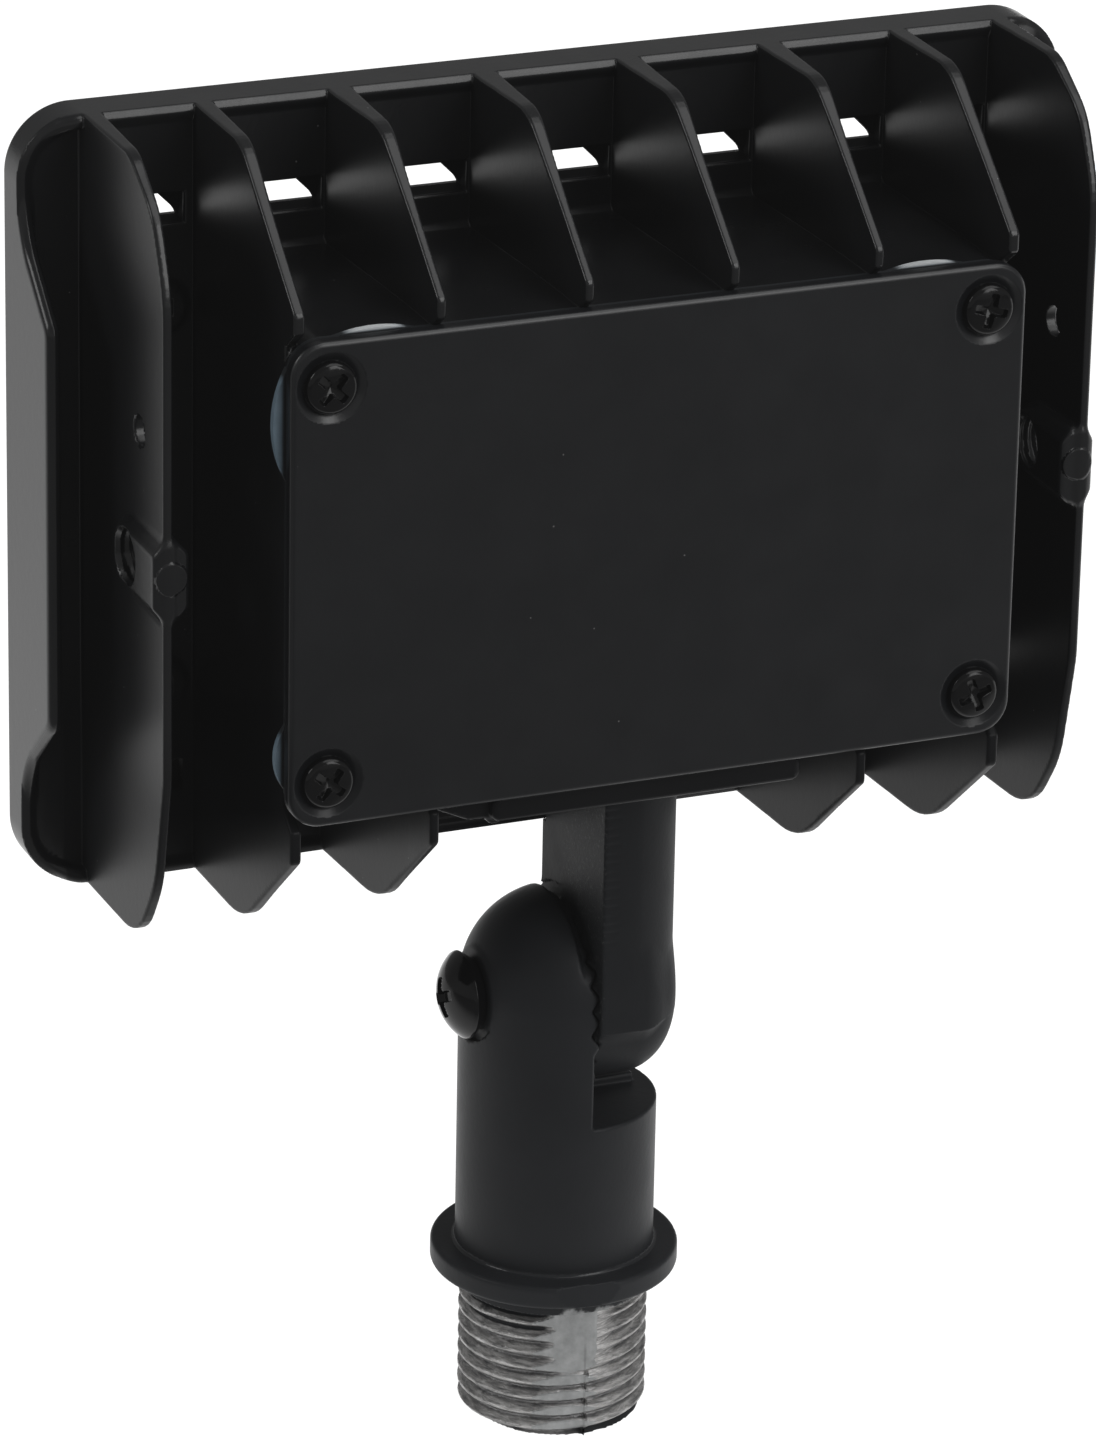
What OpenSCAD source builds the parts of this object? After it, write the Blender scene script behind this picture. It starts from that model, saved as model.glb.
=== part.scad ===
// Small LED flood light: finned die-cast head on a toothed, tilting conduit knuckle.
// Frame: +Z up, +Y the way the light points, +X right when seen from behind.
// Origin: stem axis at the underside of the stem flange, where the thread starts.

/* [Head casting] */
// Width of the front rim
rim_w = 117.8; // [116:0.2:120]
// Height of the front rim
rim_h = 85.2; // [84.4:0.2:86]
// Outer corner radius of the rim
rim_r = 7; // [6:0.5:9]
// Wall thickness of the rim lip
lip_t = 1.6; // [1.4:0.1:1.8]
// Rim front plane, ahead of the tilt axis
front_y = 11.4; // [11.2:0.1:11.6]
// Rear face of the front plate, between the fins
plate_y = 5.8; // [5.6:0.1:6]
// Front face of the front plate, inside the rim
face_y = 9.3; // [9.1:0.1:9.5]
// Fin thickness at the rear edge
fin_tip = 1.3; // [1.1:0.1:1.6]
// Fin thickness at the front plate
fin_root = 2.6; // [2.4:0.1:3]
// Height of the vent slots
slot_h = 3.2; // [3:0.1:3.2]
// Distance from the centre line to the vent slots
slot_z = 31.5; // [31.5:0.1:32]

/* [Driver box] */
// Outer width of the driver box
box_w = 80.2; // [80:0.2:80.6]
// Outer height of the driver box
box_h = 51.8; // [51.6:0.2:52]
// Wall thickness of the driver box
box_t = 2.2; // [2:0.1:2.4]
// Rear face of the driver box walls
box_y = -21.8; // [-22:0.1:-21.6]
// Thickness of the floor between the light chamber and the driver box
floor_t = 3; // [2.6:0.1:3.2]

/* [Rear cover] */
// Width of the rear cover
cover_w = 81.4; // [81:0.1:82]
// Height of the rear cover
cover_h = 52.5; // [52:0.1:53]
// Thickness of the rear cover
cover_t = 2; // [1.6:0.1:2.2]
// Thickness of the cover gasket when clamped
gasket_t = 0.8; // [0.6:0.1:1]
// Half the distance between cover screws, across
cover_sx = 36.4; // [36.2:0.1:36.6]
// Half the distance between cover screws, up
cover_sz = 21.4; // [21.2:0.1:21.6]

/* [Light chamber] */
// Width of the glass lens
lens_w = 79.6; // [79:0.2:79.6]
// Height of the glass lens
lens_h = 52.2; // [52:0.2:52.4]
// Thickness of the glass lens
lens_t = 2.5; // [2.2:0.1:2.6]
// Columns of LED packages
led_cols = 8; // [6:1:9]
// Rows of LED packages
led_rows = 4; // [3:1:5]

/* [Knuckle] */
// Radius of the stem and of both knuckle arms
stem_r = 10.9; // [10.7:0.1:11]
// Height of the tilt axis above the flange underside
pivot_z = 33.2; // [33:0.1:33.6]
// Height of the ledge beside the lower arm
ledge_z = 20; // [19:0.2:21]
// Gap between the two knuckle faces
face_gap = 0.3; // [0.3:0.05:0.6]
// Flange radius
flange_r = 13.6; // [13.2:0.1:14]
// Flange thickness
flange_t = 2.6; // [2.2:0.1:3]
// Radius over the stem thread
thread_r = 10.4; // [10.3:0.05:10.5]
// Length of the threaded stem below the flange
thread_l = 17.4; // [15:0.2:19]
// Radius of the wire passage through the stem
wire_r = 6.5; // [6:0.1:7]
// Radius of the pivot bolt's shank
bolt_r = 3; // [3:0.5:3]

/* [Hidden] */
$fn = 64;
hc = pivot_z + 59.3;                 // height of the head's centre line
fin_x = [-51.4, -39.4, -24.2, -8.06, 8.06, 24.2, 39.4, 51.4];
bay_x = [for (i = [0:6]) (fin_x[i] + fin_x[i + 1]) / 2];
bay_w = [for (i = [0:6]) (fin_x[i + 1] - fin_x[i]) - 2.9];
floor_y = 1.6;                     // LED side of the chamber floor
seat_y = 6.7;                      // seat of the lens gasket
bezel_y = 10;                      // face that the bezel lies on
cav_w = box_w - 2 * box_t;
cav_h = box_h - 2 * box_t;
pad_z = -29.3;                       // underside of the arm pad, from the head's centre
arm_top = hc + pad_z - 0.6;
arm_y = -2.8;                       // centre of the upper arm's section
arm_hw = 8.8;                        // half its width
arm_flat = 2.7;                      // straight part beside the mating face
bezel_sx = 44;
bezel_sz = 21;
arm_bolt = [[3.6, -9], [7.8, -5]];        // screws that hold the arm to the pad
lead_xy = [3, -4.4];                  // wire passage through arm and pad
lead_r = 2;
M6_y = -9.3;                         // side mounting holes
pin_y = -10.8;
pin_z = 14;
lead_x = 29.5;

module ext_y(y0, y1) { translate([0, y1, 0]) rotate([90, 0, 0]) linear_extrude(y1 - y0) children(); }
module ext_x(x0, x1) { translate([x0, 0, 0]) rotate([90, 0, 90]) linear_extrude(x1 - x0) children(); }
module rrect(w, h, r) {
  union() {
    square([w - 2 * r, h], center = true);
    square([w, h - 2 * r], center = true);
    for (i = [-1, 1], j = [-1, 1]) translate([i * (w / 2 - r), j * (h / 2 - r)]) circle(r);
  }
}
module four(dx, dz) { for (i = [-1, 1], j = [-1, 1]) translate([i * dx, 0, j * dz]) children(); }
// a cylinder along Y between two stations
module rod_y(r, y0, y1) { translate([0, y1, 0]) rotate([90, 0, 0]) cylinder(r = r, h = y1 - y0); }
module rod_x(r, x0, x1) { translate([x0, 0, 0]) rotate([0, 90, 0]) cylinder(r = r, h = x1 - x0); }

// ---- head casting -------------------------------------------------------
// side outline of an inner fin above the driver box: straight back, rounded bend, slope to the cover
module inner_fin_2d() {
  polygon([[8, 25], [8, 42.2], [5.3, 42.6], [-6.6, 42.6], [-7.9, 42.3], [-9.4, 41.4],
           [-22.9, 29.9], [-23.5, 29.1], [-23.6, 28.6], [-23.6, 27.2], [-21.7, 27], [-21.7, 25]]);
}
module outer_fin_2d() {
  polygon([[8, -41.4], [8, 41.4], [5, 42.3], [-5, 42.3], [-8.2, 41.9], [-11.6, 40.5], [-14.2, 38.3],
           [-16.2, 35.4], [-17.3, 32], [-17.8, 28], [-18, 10], [-18, -16], [-17.6, -24.5],
           [-16.6, -31.4], [-14.9, -35.8], [-12.4, -39.4], [-10.2, -41.5], [-8.2, -42.3], [5, -42.3]]);
}
module fin_plan(x, out = 0) {
  linear_extrude(rim_h + 4, center = true)
    polygon([[x - fin_root / 2 - (out < 0 ? 0.6 : 0), 9], [x - fin_tip / 2, -25],
             [x + fin_tip / 2, -25], [x + fin_root / 2 + (out > 0 ? 0.6 : 0), 9]]);
}
module fins() {
  for (i = [1:6]) intersection() {
    fin_plan(fin_x[i]);
    union() {
      ext_x(fin_x[i] - 3, fin_x[i] + 3) inner_fin_2d();
      if (i < 3 || i > 4) ext_x(fin_x[i] - 3, fin_x[i] + 3) mirror([0, 1]) inner_fin_2d();
    }
  }
  for (s = [0, 7]) intersection() {
    fin_plan(fin_x[s], s == 0 ? -1 : 1);
    ext_x(fin_x[s] - 4, fin_x[s] + 4) outer_fin_2d();
  }
}
// thickened pad on an outer fin that carries the side thread
module side_boss(s) {
  scale([s, 1, 1]) intersection() {
    ext_y(-18, 0) polygon([[50.6, -4.5], [49.3, -2.6], [49.3, 2.6], [50.6, 4.5],
                           [52.1, 4.5], [53.3, 2.6], [53.3, -2.6], [52.1, -4.5]]);
    ext_x(49, 53.5) polygon([[-18, -4.5], [-18, 4.5], [-9.3, 3.9], [-6.5, 2.8], [-5.4, 0], [-6.5, -2.8], [-9.3, -3.9]]);
  }
}
module head_solid() {
  // front plate, thicker around the lens
  ext_y(plate_y, face_y) rrect(rim_w, rim_h, rim_r);
  ext_y(plate_y, bezel_y) rrect(98.6, 59.2, 4);
  // rim lip, deeper along the middle of both sides
  intersection() {
    ext_y(-2.6, front_y) difference() {
      rrect(rim_w, rim_h, rim_r);
      rrect(rim_w - 2 * lip_t, rim_h - 2 * lip_t, rim_r - lip_t);
    }
    ext_x(-70, 70) polygon([[11.4, 43], [5.3, 43], [5.3, 31.7], [-2.6, 23.2],
                            [-2.6, -23.2], [5.3, -31.7], [5.3, -43], [11.4, -43]]);
  }
  ext_y(box_y, plate_y + 1) rrect(box_w, box_h, 3.4);
  fins();
  for (s = [-1, 1]) side_boss(s);
  // pad for the arm
  ext_y(-22.9, -1) translate([-17.5, pad_z]) square([35, 2.8]);
  ext_y(-21.8, plate_y + 0.5) translate([-17.5, pad_z]) square([35, 5]);
  // screw bosses behind the bezel screws
  four(bezel_sx, bezel_sz) rod_y(2.9, 3.6, plate_y + 0.5);
}
module housing() {
  color([0.13, 0.135, 0.14]) translate([0, 0, hc]) difference() {
    head_solid();
    // light chamber and the seat of the lens
    ext_y(floor_y, front_y + 1) rrect(cav_w, cav_h, 2.4);
    ext_y(seat_y, front_y + 1) rrect(lens_w + 0.4, lens_h + 0.4, 2.4);
    // driver chamber, keeping the four corner posts
    difference() {
      ext_y(box_y - 1, floor_y - floor_t) rrect(cav_w, cav_h, 2.4);
      four(cover_sx, cover_sz) rod_y(3.2, box_y - 2, 4);
      // standoffs of the driver board
      four(28, 18) rod_y(2.8, -4, 2);
    }
    // vent slots between the fins, above and below the lens
    for (i = [0:6], s = [-1, 1])
      translate([bay_x[i], 0, s * slot_z]) ext_y(plate_y - 0.2, front_y + 1) rrect(bay_w[i], slot_h, 1.4);
    // cover screw threads, standoff threads, LED board screw threads, bezel screw threads
    four(cover_sx, cover_sz) rod_y(1.5, box_y - 1, box_y + 9);
    four(28, 18) rod_y(1.1, -5, -0.4);
    for (i = [-1, 1], j = [-1, 1]) translate([i * 32, 0, j * 20.6]) rod_y(1.1, -0.8, 4);
    four(bezel_sx, bezel_sz) rod_y(1.2, 4.6, front_y + 1);
    // lead hole through the chamber floor
    translate([lead_x, 0, 0]) rod_y(2.6, -4, 5);
    // wire passage and arm screw holes through the pad
    translate([lead_xy[0], lead_xy[1], pad_z - 1]) cylinder(r = lead_r, h = 8);
    for (b = arm_bolt) translate([b[0], b[1], pad_z - 1]) cylinder(r = 1.7, h = 8);
    // side threads with countersunk mouths, and the small pin holes
    translate([0, M6_y, 0]) {
      for (s = [-1, 1]) scale([s, 1, 1]) {
        rod_x(2.5, 48, 55);
        translate([52.8, 0, 0]) rotate([0, 90, 0]) cylinder(r1 = 2.5, r2 = 3.3, h = 0.8);
        translate([49.1, 0, 0]) rotate([0, 90, 0]) cylinder(r1 = 3.2, r2 = 2.5, h = 0.7);
      }
    }
    for (s = [-1, 1]) translate([s * 51.5, pin_y, pin_z]) rod_x(1.65, -4, 4);
  }
}

// ---- rear cover ---------------------------------------------------------
module rear_cover() {
  color([0.15, 0.155, 0.16]) translate([0, 0, hc]) difference() {
    ext_y(box_y - gasket_t - cover_t, box_y - gasket_t) rrect(cover_w, cover_h, 3.6);
    four(cover_sx, cover_sz) {
      rod_y(1.7, box_y - 6, box_y);
      rod_y(3.2, box_y - 6, box_y - gasket_t - cover_t + 0.7);
    }
  }
}
// where the soft gasket bulges past the cover's edge: [side, height, radius, how far it shows]
lobes_x = [[-1, 17.2, 13, 1.2], [-1, -19, 6, 0.8], [1, 15, 13, 0.6], [1, -17, 9, 0.6]];
lobes_z = [[1, -31, 16, 0.35], [1, 30, 16, 0.35], [-1, -30, 14, 0.3], [-1, 31, 14, 0.3]];
module gasket_2d() {
  rrect(cover_w - 0.8, cover_h - 0.6, 3.4);
  for (l = lobes_x) intersection() {
    translate([l[0] * (cover_w / 2 + l[3] - l[2]), l[1]]) circle(l[2]);
    translate([l[0] * 41, 0]) square([7, cover_h - 6], center = true);
  }
  for (l = lobes_z) intersection() {
    translate([l[1], l[0] * (cover_h / 2 + l[3] - l[2])]) circle(l[2]);
    translate([0, l[0] * 26.4]) square([cover_w - 8, 4], center = true);
  }
}
module cover_gasket() {
  color([0.62, 0.7, 0.76]) translate([0, 0, hc]) difference() {
    ext_y(box_y - gasket_t, box_y) gasket_2d();
    ext_y(box_y - 2, box_y + 1) difference() {
      rrect(cav_w - 0.4, cav_h - 0.4, 2.4);
      for (i = [-1, 1], j = [-1, 1]) translate([i * cover_sx, j * cover_sz]) circle(3.4);
    }
    four(cover_sx, cover_sz) rod_y(1.7, box_y - 2, box_y + 1);
  }
}
// pan head with a crossed recess; head on the -Y side
module pan_screw(r, head_r, head_h, y_seat, len) {
  difference() {
    union() {
      rod_y(r, y_seat - 0.1, y_seat + len);
      translate([0, y_seat, 0]) rotate([90, 0, 0]) rotate_extrude()
        polygon([[0, 0], [head_r, 0], [head_r, head_h * 0.45], [head_r * 0.93, head_h * 0.72],
                 [head_r * 0.75, head_h * 0.92], [head_r * 0.5, head_h], [0, head_h]]);
    }
    for (a = [0, 90]) rotate([0, a, 0])
      translate([-head_r * 0.62, y_seat - head_h - 1, -head_r * 0.13]) cube([head_r * 1.24, 1 + head_h * 0.75, head_r * 0.26]);
  }
}
module cover_screws() {
  color([0.1, 0.1, 0.11]) translate([0, 0, hc])
    four(cover_sx, cover_sz) pan_screw(1.5, 2.75, 1.5, box_y - gasket_t - cover_t + 0.7, 9.6);
}

// ---- driver -------------------------------------------------------------
module driver_insulator() {
  color([0.9, 0.88, 0.8]) translate([0, 0, hc]) difference() {
    ext_y(-4.4, -4) rrect(65, 43, 2);
    four(28, 18) rod_y(1.4, -6, -2);
    translate([lead_x, 0, 0]) rod_y(2.2, -6, -2);
  }
}
module driver_board() {
  color([0.1, 0.32, 0.16]) translate([0, 0, hc]) difference() {
    ext_y(-6, -4.4) rrect(65, 42, 1.5);
    four(28, 18) rod_y(1.35, -8, -2);
    for (j = [-1, 1]) translate([lead_x, 0, j]) rod_y(0.7, -8, -2);
  }
}
module driver_board_screws() {
  color([0.75, 0.75, 0.77]) translate([0, 0, hc]) four(28, 18) pan_screw(1.1, 2, 1.2, -6, 4.6);
}
module driver_transformer() {
  color([0.75, 0.62, 0.2]) translate([2, 0, hc + 3]) {
    ext_y(-8, -6) square([19, 17], center = true);
    ext_y(-18.2, -16.4) square([19, 17], center = true);
    rod_y(7, -16.4, -8);
    for (i = [-1, 1]) translate([i * 9.2, 0, 0]) ext_y(-17.2, -7) square([4, 12], center = true);
  }
}
module driver_capacitors() {
  color([0.12, 0.14, 0.2]) translate([0, 0, hc]) {
    translate([-19, 0, 9.5]) rod_y(5, -18.6, -6);
    translate([-19, 0, -3]) rod_y(5, -18.6, -6);
    translate([20, 0, 10]) rod_y(4, -16.5, -6);
  }
}
module driver_inductor() {
  color([0.2, 0.35, 0.25]) translate([-19, -6, hc - 15]) rotate([90, 0, 0])
    rotate_extrude() polygon([[2, 0], [5.5, 0], [5.5, 6], [2, 6]]);
}
module driver_rectifier() {
  color([0.08, 0.08, 0.08]) translate([-5, 0, hc - 15]) ext_y(-10.5, -6) square([8, 7], center = true);
}
module driver_switch() {
  color([0.09, 0.09, 0.09]) translate([8.5, 0, hc - 15]) ext_y(-15.5, -6) square([10, 4.6], center = true);
}
module driver_terminals() {
  color([0.2, 0.45, 0.3]) translate([20, 0, hc - 12]) difference() {
    ext_y(-14, -6) square([12, 9], center = true);
    for (i = [-1, 1]) translate([i * 2.8, -10.5, -6]) cylinder(r = 1.3, h = 8);
  }
}

// ---- light chamber ------------------------------------------------------
module thermal_pad() {
  color([0.85, 0.6, 0.7]) translate([0, 0, hc]) difference() {
    ext_y(floor_y, floor_y + 0.3) rrect(70, 44.6, 1.5);
    four(32, 20.6) rod_y(1.6, 0, 5);
    translate([lead_x, 0, 0]) rod_y(3.2, 0, 5);
  }
}
module led_board() {
  color([0.93, 0.93, 0.92]) translate([0, 0, hc]) difference() {
    ext_y(floor_y + 0.3, floor_y + 1.6) rrect(72, 46, 2);
    four(32, 20.6) rod_y(1.3, 0, 8);
    for (j = [-1, 1]) translate([lead_x, 0, j]) rod_y(0.7, 0, 8);
  }
}
// LED board screws face forwards
module led_board_screws() {
  color([0.75, 0.75, 0.77]) translate([0, 0, hc]) four(32, 20.6) translate([0, 2 * (floor_y + 1.6), 0]) mirror([0, 1, 0])
    pan_screw(1.1, 2, 1.1, floor_y + 1.6, 3.8);
}
function led_px(i) = (i - (led_cols - 1) / 2) * 6.8;
function led_pz(j) = (j - (led_rows - 1) / 2) * 8.4;
module led_chips() {
  color([0.95, 0.85, 0.35]) translate([0, 0, hc])
    for (i = [0:led_cols - 1], j = [0:led_rows - 1])
      translate([led_px(i), 0, led_pz(j)]) ext_y(floor_y + 1.6, floor_y + 2.4) square([2.8, 3.5], center = true);
}
module led_leads() {
  color([0.75, 0.1, 0.1]) translate([lead_x, 0, hc]) for (j = [-1, 1]) translate([0, 0, j]) {
    rod_y(0.65, -6.6, floor_y + 2);
    rod_y(1, -7, -6);
    rod_y(1, floor_y + 1.6, floor_y + 2.3);
  }
}
module lead_grommet() {
  color([0.2, 0.2, 0.2]) translate([lead_x, 0, hc]) difference() {
    union() { rod_y(2.6, floor_y - floor_t - 0.9, floor_y); rod_y(3.2, floor_y - floor_t - 0.9, floor_y - floor_t); }
    for (j = [-1, 1]) translate([0, 0, j]) rod_y(0.65, -4, 4);
  }
}
module reflector() {
  color([0.9, 0.9, 0.9]) translate([0, 0, hc]) difference() {
    ext_y(floor_y + 1.6, seat_y - 0.05) rrect(cav_w - 0.6, cav_h - 0.6, 2.2);
    for (i = [0:led_cols - 1], j = [0:led_rows - 1]) translate([led_px(i), seat_y, led_pz(j)])
      rotate([90, 0, 0]) cylinder(r1 = 3.2, r2 = 2.4, h = 4);
    four(32, 20.6) rod_y(2.4, 2, 5.6);
    translate([lead_x, 0, 0]) ext_y(2, 5.6) square([4, 7], center = true);
  }
}
module lens_gasket() {
  color([0.85, 0.86, 0.86]) translate([0, 0, hc]) ext_y(seat_y, seat_y + 0.8) difference() {
    rrect(lens_w, lens_h, 2.2);
    rrect(cav_w - 0.4, cav_h - 0.4, 2.2);
  }
}
module lens() {
  color([0.85, 0.92, 0.95, 0.5]) translate([0, 0, hc]) ext_y(seat_y + 0.8, seat_y + 0.8 + lens_t) rrect(lens_w, lens_h, 2.2);
}
module lens_bezel() {
  color([0.12, 0.12, 0.125]) translate([0, 0, hc]) difference() {
    ext_y(bezel_y, bezel_y + 1.4) rrect(97.4, 58.4, 3.6);
    ext_y(bezel_y - 1, bezel_y + 3) rrect(75.4, 47, 2.6);
    four(bezel_sx, bezel_sz) { rod_y(1.4, 8, 15); rod_y(2.5, bezel_y + 0.6, 15); }
  }
}
module bezel_screws() {
  color([0.1, 0.1, 0.11]) translate([0, 0, hc]) four(bezel_sx, bezel_sz)
    translate([0, 2 * (bezel_y + 0.6), 0]) mirror([0, 1, 0]) pan_screw(1.2, 2.3, 0.8, bezel_y + 0.6, 5.4);
}

// ---- knuckle ------------------------------------------------------------
// lower half: stem, flange, thread and the left-hand arm, one casting
module knuckle_base() {
  color([0.14, 0.145, 0.15]) difference() {
    union() {
      cylinder(r = stem_r, h = pivot_z);
      translate([0, 0, pivot_z]) sphere(stem_r, $fn = 96);
      cylinder(r = flange_r, h = flange_t);
      translate([0, 0, -thread_l + 1]) cylinder(r = thread_r, h = thread_l);
      translate([0, 0, -thread_l]) cylinder(r1 = thread_r - 0.9, r2 = thread_r, h = 1);
    }
    // room for the upper arm, above the ledge and its small rib
    difference() {
      translate([-face_gap / 2, -20, ledge_z]) cube([40, 40, 60]);
      translate([-1, 0.3, ledge_z - 1]) cube([9.4, 6.4, 1.8]);
    }
    // wire passage: up the stem, then beside the bolt boss and out of the mating face
    translate([0, 0, -thread_l - 1]) cylinder(r = wire_r, h = thread_l + 9);
    translate([-3.9, 0, 6]) cylinder(r = 3.1, h = pivot_z - 11);
    translate([0, 0, pivot_z]) {
      difference() { rod_x(7.4, -6.6, 1); rod_x(4.3, -8, 2); }
      rod_x(bolt_r + 0.08, -20, 2);
      rod_x(5.5, -20, -9.9);
    }
  }
}
module pivot_bolt() {
  color([0.1, 0.1, 0.11]) translate([0, 0, pivot_z]) difference() {
    union() {
      rod_x(bolt_r, -9.9, 8.2);
      translate([-9.9, 0, 0]) rotate([0, -90, 0]) rotate_extrude()
        polygon([[0, 0], [4.95, 0], [4.95, 1.4], [4.6, 1.95], [3.9, 2.75], [2.9, 3.4], [1.7, 3.85], [0, 4]]);
    }
    for (a = [0, 90]) rotate([a, 0, 0]) translate([-15, -0.6, -2.2]) cube([3, 1.2, 4.4]);
  }
}
// upper half: D-section arm on the right of the mating face, with a rounded disc at the pivot
module upper_arm() {
  color([0.16, 0.165, 0.17]) difference() {
    union() {
      translate([0, 0, pivot_z]) rotate([0, 90, 0]) rotate_extrude($fn = 96)
        polygon(concat([[0, face_gap / 2], [stem_r, face_gap / 2], [stem_r, 5.1]],
                       [for (a = [10:10:90]) [stem_r - 5.9 + 5.9 * cos(a), 5.1 + 5.9 * sin(a)]], [[0, 11]]));
      translate([0, 0, pivot_z]) linear_extrude(arm_top - pivot_z) union() {
        translate([face_gap / 2, arm_y - arm_hw]) square([arm_flat - face_gap / 2, 2 * arm_hw]);
        translate([arm_flat, arm_y]) intersection() {
          circle(arm_hw, $fn = 96);
          translate([0, -20]) square([40, 40]);
        }
      }
    }
    // the front is stepped back under the housing's front edge
    translate([-1, 5.1, 49.9]) cube([20, 10, 20]);
    translate([0, 0, pivot_z]) {
      difference() { rod_x(7.4, -1, 6); rod_x(4.3, -2, 8); }
      rod_x(bolt_r, -2, 8.4);
    }
    // wire passage up to the driver box
    translate([lead_xy[0], lead_xy[1], pivot_z + 4.6]) cylinder(r = lead_r, h = 40);
    for (b = arm_bolt) translate([b[0], b[1], arm_top - 12]) cylinder(r = 1.5, h = 20);
  }
}
module arm_gasket() {
  color([0.2, 0.2, 0.21]) translate([0, 0, arm_top]) difference() {
    linear_extrude(0.6) union() {
      translate([0.9, arm_y - arm_hw + 0.6]) square([arm_flat - 0.9, 7.2 - arm_y + arm_hw - 3.2]);
      translate([arm_flat, arm_y]) intersection() {
        circle(arm_hw - 0.6, $fn = 96);
        translate([0, -20]) square([40, 27.6]);
      }
    }
    translate([lead_xy[0], lead_xy[1], -1]) cylinder(r = lead_r, h = 4);
    for (b = arm_bolt) translate([b[0], b[1], -1]) cylinder(r = 1.7, h = 4);
  }
}
module arm_screws() {
  color([0.75, 0.75, 0.77]) for (b = arm_bolt)
    translate([b[0], b[1], hc - cav_h / 2]) rotate([-90, 0, 0]) pan_screw(1.5, 2.2, 1.6, 0, 11);
}
module supply_lead_seal() {
  color([0.75, 0.3, 0.2]) translate([lead_xy[0], lead_xy[1], hc + pad_z]) difference() {
    cylinder(r = lead_r, h = -pad_z - cav_h / 2 + 0.8);
    for (a = [90, 210, 330]) rotate([0, 0, a]) translate([1.05, 0, -1]) cylinder(r = 0.55, h = 10);
  }
}

knuckle_base();
pivot_bolt();
upper_arm();
arm_gasket();
arm_screws();
supply_lead_seal();
housing();
rear_cover();
cover_gasket();
cover_screws();
driver_insulator();
driver_board();
driver_board_screws();
driver_transformer();
driver_capacitors();
driver_inductor();
driver_rectifier();
driver_switch();
driver_terminals();
thermal_pad();
led_board();
led_board_screws();
led_chips();
led_leads();
lead_grommet();
reflector();
lens_gasket();
lens();
lens_bezel();
bezel_screws();
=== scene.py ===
import math
import time

import bpy
import numpy as np
from mathutils import Matrix, Vector


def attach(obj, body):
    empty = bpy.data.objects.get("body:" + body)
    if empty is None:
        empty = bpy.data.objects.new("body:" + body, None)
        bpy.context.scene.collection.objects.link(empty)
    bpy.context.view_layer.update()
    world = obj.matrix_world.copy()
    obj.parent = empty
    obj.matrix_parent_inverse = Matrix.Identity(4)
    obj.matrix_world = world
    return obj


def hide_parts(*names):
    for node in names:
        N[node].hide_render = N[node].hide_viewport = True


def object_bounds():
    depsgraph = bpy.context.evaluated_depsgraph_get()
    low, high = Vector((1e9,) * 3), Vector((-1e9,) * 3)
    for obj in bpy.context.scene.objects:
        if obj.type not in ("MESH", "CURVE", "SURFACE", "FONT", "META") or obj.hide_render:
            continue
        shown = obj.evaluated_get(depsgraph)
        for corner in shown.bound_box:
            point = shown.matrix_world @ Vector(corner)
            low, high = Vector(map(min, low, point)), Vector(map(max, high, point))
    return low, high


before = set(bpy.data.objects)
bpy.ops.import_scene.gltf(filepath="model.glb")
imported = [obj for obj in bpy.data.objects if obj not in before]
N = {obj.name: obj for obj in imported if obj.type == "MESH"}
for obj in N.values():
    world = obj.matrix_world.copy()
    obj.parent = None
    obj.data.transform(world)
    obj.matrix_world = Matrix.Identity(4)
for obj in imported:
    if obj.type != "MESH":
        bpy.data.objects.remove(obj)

CAD_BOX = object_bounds()
T0 = time.time()

# ---------------------------------------------------------------- numbers shared with the CAD (mm)
PZ = 33.2          # tilt axis above the flange underside
HC = PZ + 59.3     # centre line of the head
FINS = np.array([-51.4, -39.4, -24.2, -8.06, 8.06, 24.2, 39.4, 51.4])
BAYS = (FINS[:-1] + FINS[1:]) / 2
BAY_HW = (FINS[1:] - FINS[:-1]) / 2 - 1.5
FLOOR, SEAT, BEZEL = 1.6, 6.7, 10.0


def log(*words):
    print("[scene]", f"{time.time() - T0:6.1f}s", *words, flush=True)


# ---------------------------------------------------------------- distance fields
def ln(a, b):
    return np.sqrt(a * a + b * b)


def rect2(u, v, hu, hv, r=0.0):
    qu, qv = np.abs(u) - (hu - r), np.abs(v) - (hv - r)
    return np.minimum(np.maximum(qu, qv), 0) + ln(np.maximum(qu, 0), np.maximum(qv, 0)) - r


def cut(a, b, r):
    """Intersection of two solids, with the edge between them rounded to r."""
    return np.minimum(-r, np.maximum(a, b)) + ln(np.maximum(r + a, 0), np.maximum(r + b, 0))


def join(a, b, r):
    """Union of two solids, with the corner between them filled to r."""
    return np.maximum(r, np.minimum(a, b)) - ln(np.maximum(r - a, 0), np.maximum(r - b, 0))


def slab(d, w, w0, w1, r=0.0):
    """A 2-D shape d carried from w0 to w1 along w."""
    b = np.abs(w - (w0 + w1) / 2) - (w1 - w0) / 2
    return cut(d, b, r) if r else np.maximum(d, b)


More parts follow.
